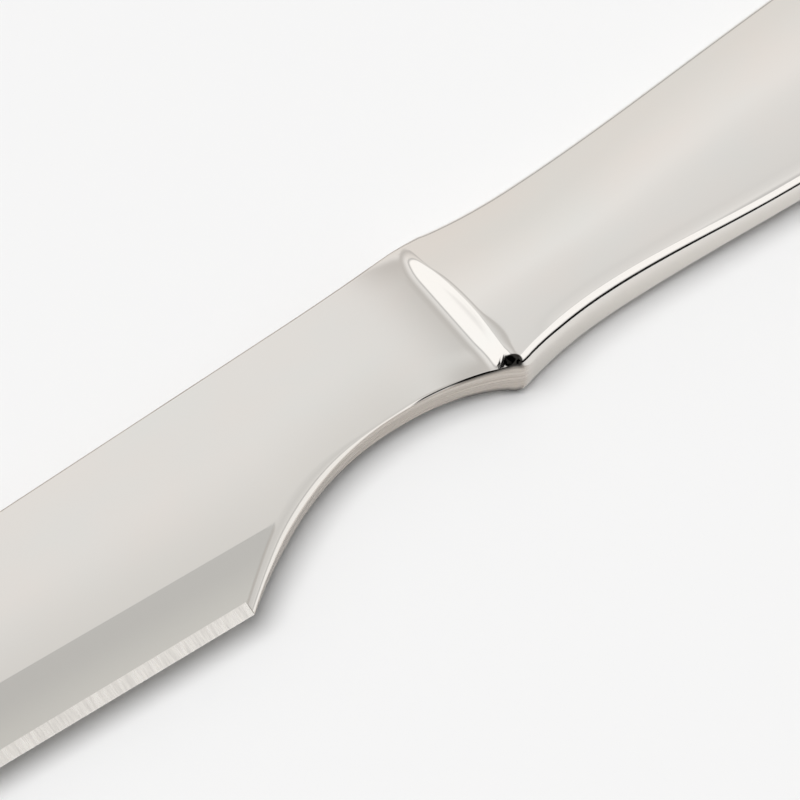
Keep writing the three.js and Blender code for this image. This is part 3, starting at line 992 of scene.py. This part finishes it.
# Painted shade: the colour is painted darker along the belly.
polish_colour = mix_colour(polish, mask(polish, "belly"), polish_colour, steel_belly_shade)
polish.links.new(polish_colour, polish_out.inputs["Colour"])
hairline_roughness = spread(polish, hairlines, polish_smoothest, polish_roughest)
polish_roughness = mix_value(polish, cloud, hairline_roughness, polish_roughest)
polish.links.new(polish_roughness, polish_out.inputs["Roughness"])


def steel(name):
    """A metal with the mirror polish on it. Returns it with its tree, shader and polish."""
    metal = bpy.data.materials.new(name)
    metal.use_nodes = True
    shader = metal.node_tree.nodes["Principled BSDF"]
    shader.inputs["Metallic"].default_value = 1.0
    finish = metal.node_tree.nodes.new("ShaderNodeGroup")
    finish.node_tree = polish
    return metal, metal.node_tree, shader, finish.outputs


def raise_marks(tree, shader, height, distance):
    """Let a height stand out on the surface by a distance in metres."""
    bump = tree.nodes.new("ShaderNodeBump")
    bump.inputs["Distance"].default_value = distance
    tree.links.new(height, bump.inputs["Height"])
    tree.links.new(bump.outputs["Normal"], shader.inputs["Normal"])


wheel_scales = (1800, 60, 60)
hone_scales = (4200, 500, 500)
belt_scales = (90, 90, 4200)
marks_depth = 0.006
bevel_dark = (0.600, 0.585, 0.554, 1)
bevel_pale = (0.620, 0.604, 0.572, 1)
bevel_foot = (0.700, 0.680, 0.635, 1)
bevel_foot_edge = (0.2, 0.95)
bevel_rough = (0.18, 0.21)
edge_dark = (0.80, 0.77, 0.73, 1)
edge_pale = (0.95, 0.92, 0.87, 1)
edge_rough = (0.2, 0.3)
# The belt-ground finish by the beak and along the spine is real; its darker colour is partly painted shade.
ground_and_shade_dark = (0.450, 0.404, 0.358, 1)
ground_and_shade_pale = (0.64, 0.589, 0.536, 1)
ground_rough = (0.22, 0.34)
painted_shade_dark = (0.700, 0.674, 0.636, 1)
painted_shade_pale = (0.716, 0.690, 0.652, 1)
# Black painted into the colour as a painted reflection, for the line along the neck's belly edge and the
# patch in the beak's corner.
painted_reflection_black = (0.035, 0.033, 0.030, 1)
reflection_patch_rim = (-0.05, 0.15)

blade_steel, steel_tree, steel_shader, steel_polish = steel("blade_steel")
on_bevel = mask(steel_tree, "bevel")
on_edge = mask(steel_tree, "edge")
on_ground = mask(steel_tree, "ground")
on_painted_shade = mask(steel_tree, "painted_shade")
on_painted_reflection_line = mask(steel_tree, "line")
in_reflection_patch = fade(steel_tree, mask(steel_tree, "corner"), *reflection_patch_rim)
down_bevel = fade(steel_tree, mask(steel_tree, "bevel_down"), *bevel_foot_edge)
wheel_marks = streaks(steel_tree, wheel_scales, 2)
hone_marks = streaks(steel_tree, hone_scales, 3)
belt_marks = streaks(steel_tree, belt_scales, 3)
bevel_colour = mix_colour(steel_tree, wheel_marks, bevel_dark, bevel_pale)
bevel_colour = mix_colour(steel_tree, down_bevel, bevel_colour, bevel_foot)
edge_colour = mix_colour(steel_tree, spread(steel_tree, hone_marks, 0, 1), edge_dark, edge_pale)
ground_and_shade_colour = mix_colour(steel_tree, spread(steel_tree, belt_marks, 0, 1), ground_and_shade_dark, ground_and_shade_pale)
# Painted shade: the darker colour of the lower side, with faint belt marks in it.
painted_shade_colour = mix_colour(steel_tree, belt_marks, painted_shade_dark, painted_shade_pale)
blade_colour = mix_colour(steel_tree, on_painted_shade, steel_polish["Colour"], painted_shade_colour)
blade_colour = mix_colour(steel_tree, on_bevel, blade_colour, bevel_colour)
blade_colour = mix_colour(steel_tree, on_ground, blade_colour, ground_and_shade_colour)
blade_colour = mix_colour(steel_tree, on_edge, blade_colour, edge_colour)
# Painted reflection: the black line along the neck's belly edge.
blade_colour = mix_colour(steel_tree, on_painted_reflection_line, blade_colour, painted_reflection_black)
# Painted reflection: the black patch in the beak's corner.
blade_colour = mix_colour(steel_tree, in_reflection_patch, blade_colour, painted_reflection_black)
steel_tree.links.new(blade_colour, steel_shader.inputs["Base Color"])
bevel_roughness = spread(steel_tree, wheel_marks, *bevel_rough)
ground_roughness = spread(steel_tree, belt_marks, *ground_rough)
edge_roughness = spread(steel_tree, hone_marks, *edge_rough)
blade_roughness = mix_value(steel_tree, on_bevel, steel_polish["Roughness"], bevel_roughness)
blade_roughness = mix_value(steel_tree, on_ground, blade_roughness, ground_roughness)
blade_roughness = mix_value(steel_tree, on_edge, blade_roughness, edge_roughness)
steel_tree.links.new(blade_roughness, steel_shader.inputs["Roughness"])
edge_height = math_step(steel_tree, "MULTIPLY", hone_marks, on_edge)
ground_height = math_step(steel_tree, "MULTIPLY", belt_marks, on_ground)
marks_height = math_step(steel_tree, "ADD", edge_height, ground_height)
raise_marks(steel_tree, steel_shader, marks_height, marks_depth * mm)
blade.data.materials.append(blade_steel)
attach(blade, "root")
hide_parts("blade")


# Bolster braze
# A thin ring of silver braze between the bolster's shoulder and the mouth of the handle.
# It is polished flush with the steel on both sides, so the joint hardly shows.

def whole_ring(upper):
    """A half section with its mirror image below, closed back to its start."""
    lower = [(x, y, -z) for x, y, z in reversed(upper[1:-1])]
    return upper + lower + upper[:1]


def mark_belly_shade(sheet, share):
    """Note on each point of a sheet how far it lies in the belly's painted shade, where its colour is
    painted darker.
    """
    sheet.data.attributes.new("belly", "FLOAT", "POINT")
    for vertex in sheet.data.vertices:
        sheet.data.attributes["belly"].data[vertex.index].value = share(vertex.index)


bolster_rings = [whole_ring(handle_ring(x, inset, 0)) for x, inset in (
    (shoulder_x, 0), (mouth_x, 0), (mouth_x, wall), (shoulder_x, wall), (shoulder_x, 0))]
bolster_braze = new_sheet("bolster_ring", bolster_rings)
whole_size = len(bolster_rings[0])


def bolster_belly_shade(index):
    """The lower half of the ring takes the belly's painted shade as its mirror image above."""
    column = index % whole_size
    return belly_shade_share(min(column, whole_size - 1 - column))


# The ring's belly side gets the same painted shade as the blade and the shells.
mark_belly_shade(bolster_braze, bolster_belly_shade)
close_and_place(bolster_braze)
braze_metal, braze_tree, braze_shader, braze_polish = steel("silver_braze")
braze_tree.links.new(braze_polish["Colour"], braze_shader.inputs["Base Color"])
braze_tree.links.new(braze_polish["Roughness"], braze_shader.inputs["Roughness"])
bolster_braze.data.materials.append(braze_metal)
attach(bolster_braze, "root")
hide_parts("bolster_braze")


# Handle shells
# Two half shells pressed from thin stainless sheet, right and left, each crowned across and
# tapering to a slim waist behind the bolster. They are brazed rim to rim and polished bright.

waist_rings = 24
grip_rings = 20
palm_rings = 40
butt_rings = 30
full_turn = math.radians(88.5)


def handle_stations(start, inset):
    """Stations down the handle, closer together behind the bolster and round the butt."""
    end = handle_length - inset
    places = steps(start, waist_x, waist_rings)
    places += steps(waist_x, grip_x, grip_rings)
    places += steps(grip_x, palm_x, palm_rings)
    for turn in steps(0, full_turn, butt_rings) + [full_turn]:
        places.append(lerp(palm_x, end, math.sin(turn) ** (2 / butt_squareness)))
    return places


seam_half = braze_thickness / 2
skin_rings = [handle_ring(x, 0, seam_half) for x in handle_stations(mouth_x, 0)]
lining_rings = [handle_ring(x, wall, seam_half) for x in handle_stations(mouth_x, wall)]
shell_right = new_sheet("handle_shell_right_skin", skin_rings)
# The shells' belly side is painted darker, as painted shade.
mark_belly_shade(shell_right, lambda index: belly_shade_share(index % ring_size))
new_sheet("shell_lining", lining_rings)
shell_right.select_set(True)
bpy.context.view_layer.objects.active = shell_right
bpy.ops.object.join()
bpy.ops.object.mode_set(mode="EDIT")
bpy.ops.mesh.select_mode(type="EDGE")
bpy.ops.mesh.select_all(action="DESELECT")
bpy.ops.mesh.select_non_manifold()
bpy.ops.mesh.bridge_edge_loops()
bpy.ops.object.mode_set(mode="OBJECT")

bpy.ops.object.duplicate()
shell_left = bpy.context.object
shell_left.name = "handle_shell_left_skin"
bpy.ops.object.mode_set(mode="EDIT")
bpy.ops.mesh.select_all(action="SELECT")
bpy.ops.transform.resize(value=(1, 1, -1), center_override=(0, 0, 0))
bpy.ops.object.mode_set(mode="OBJECT")

handle_steel, handle_tree, handle_shader, handle_polish = steel("handle_steel")
handle_tree.links.new(handle_polish["Colour"], handle_shader.inputs["Base Color"])
handle_tree.links.new(handle_polish["Roughness"], handle_shader.inputs["Roughness"])
for shell, node in ((shell_right, "handle_shell_right"), (shell_left, "handle_shell_left")):
    bpy.ops.object.select_all(action="DESELECT")
    shell.select_set(True)
    bpy.context.view_layer.objects.active = shell
    close_and_place(shell)
    shell.data.materials.append(handle_steel)
    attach(shell, "root")
    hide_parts(node)


# Seam braze
# A flat strip of silver braze between the rims of the two half shells, round the spine, the butt
# and the belly in one U. It is dressed and polished flush with the shells.

def strip_outline(inset):
    places = handle_stations(mouth_x, inset) + [handle_length - inset]
    spine_side = [(x, handle_edges(x, inset)[0], -seam_half) for x in places]
    belly_side = [(x, handle_edges(x, inset)[1], -seam_half) for x in reversed(places[:-1])]
    return spine_side + belly_side


seam_rings = list(zip(strip_outline(0), strip_outline(wall)))
seam_braze = new_sheet("handle_seam", seam_rings)


def seam_belly_shade(index):
    """The strip takes the belly's painted shade as it comes round from the spine."""
    x, y, z = seam_rings[index // 2][index % 2]
    return (spine_line(x) - y) / (spine_line(x) - belly_line(x))


mark_belly_shade(seam_braze, seam_belly_shade)
bpy.ops.object.mode_set(mode="EDIT")
bpy.ops.mesh.select_all(action="SELECT")
bpy.ops.mesh.extrude_region_move(TRANSFORM_OT_translate={"value": (0, 0, braze_thickness * mm)})
bpy.ops.object.mode_set(mode="OBJECT")
close_and_place(seam_braze)
seam_braze.data.materials.append(braze_metal)
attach(seam_braze, "root")
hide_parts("seam_braze")


# Tang cement
# Grey casting cement that fills the front two thirds of the hollow handle round the tang.
# It was poured in wet and has set rough, and nothing of it shows outside.

cement = bpy.data.materials.new("set_cement")
cement.use_nodes = True
cement_tree = cement.node_tree
cement_shader = cement_tree.nodes["Principled BSDF"]
cement_shader.inputs["Roughness"].default_value = 0.95
cement_grain = cement_tree.nodes.new("ShaderNodeTexNoise")
cement_grain.inputs["Scale"].default_value = 900
cement_grain.inputs["Detail"].default_value = 6
cement_place = cement_tree.nodes.new("ShaderNodeTexCoord")
cement_tree.links.new(cement_place.outputs["Object"], cement_grain.inputs["Vector"])
cement_dark = (0.20, 0.18, 0.15, 1)
cement_pale = (0.36, 0.34, 0.29, 1)
cement_colour = mix_colour(cement_tree, cement_grain.outputs["Fac"], cement_dark, cement_pale)
cement_tree.links.new(cement_colour, cement_shader.inputs["Base Color"])
cement_bump = cement_tree.nodes.new("ShaderNodeBump")
cement_bump.inputs["Distance"].default_value = 0.0002
cement_tree.links.new(cement_grain.outputs["Fac"], cement_bump.inputs["Height"])
cement_tree.links.new(cement_bump.outputs["Normal"], cement_shader.inputs["Normal"])
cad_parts["tang_cement"].data.materials.clear()
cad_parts["tang_cement"].data.materials.append(cement)


# Camera
# A long lens close over the table, looking past the bolster along the blade.

camera_target = bolster_corner + Vector((-10.0, -10.94, 0)) * mm
camera_azimuth = math.radians(-37.3)
camera_elevation = math.radians(60.5)
camera_distance = 0.5
frame_width = 65.57 * mm
sensor_width = 36

back = Vector((
    math.sin(camera_azimuth) * math.cos(camera_elevation),
    -math.cos(camera_azimuth) * math.cos(camera_elevation),
    math.sin(camera_elevation),
))
bpy.ops.object.camera_add(location=camera_target + back * camera_distance)
camera = bpy.context.object
camera.rotation_euler = back.to_track_quat("Z", "Y").to_euler()
camera.data.sensor_width = sensor_width
camera.data.lens = sensor_width * camera_distance / frame_width
camera.data.clip_start = 0.01
bpy.context.scene.camera = camera
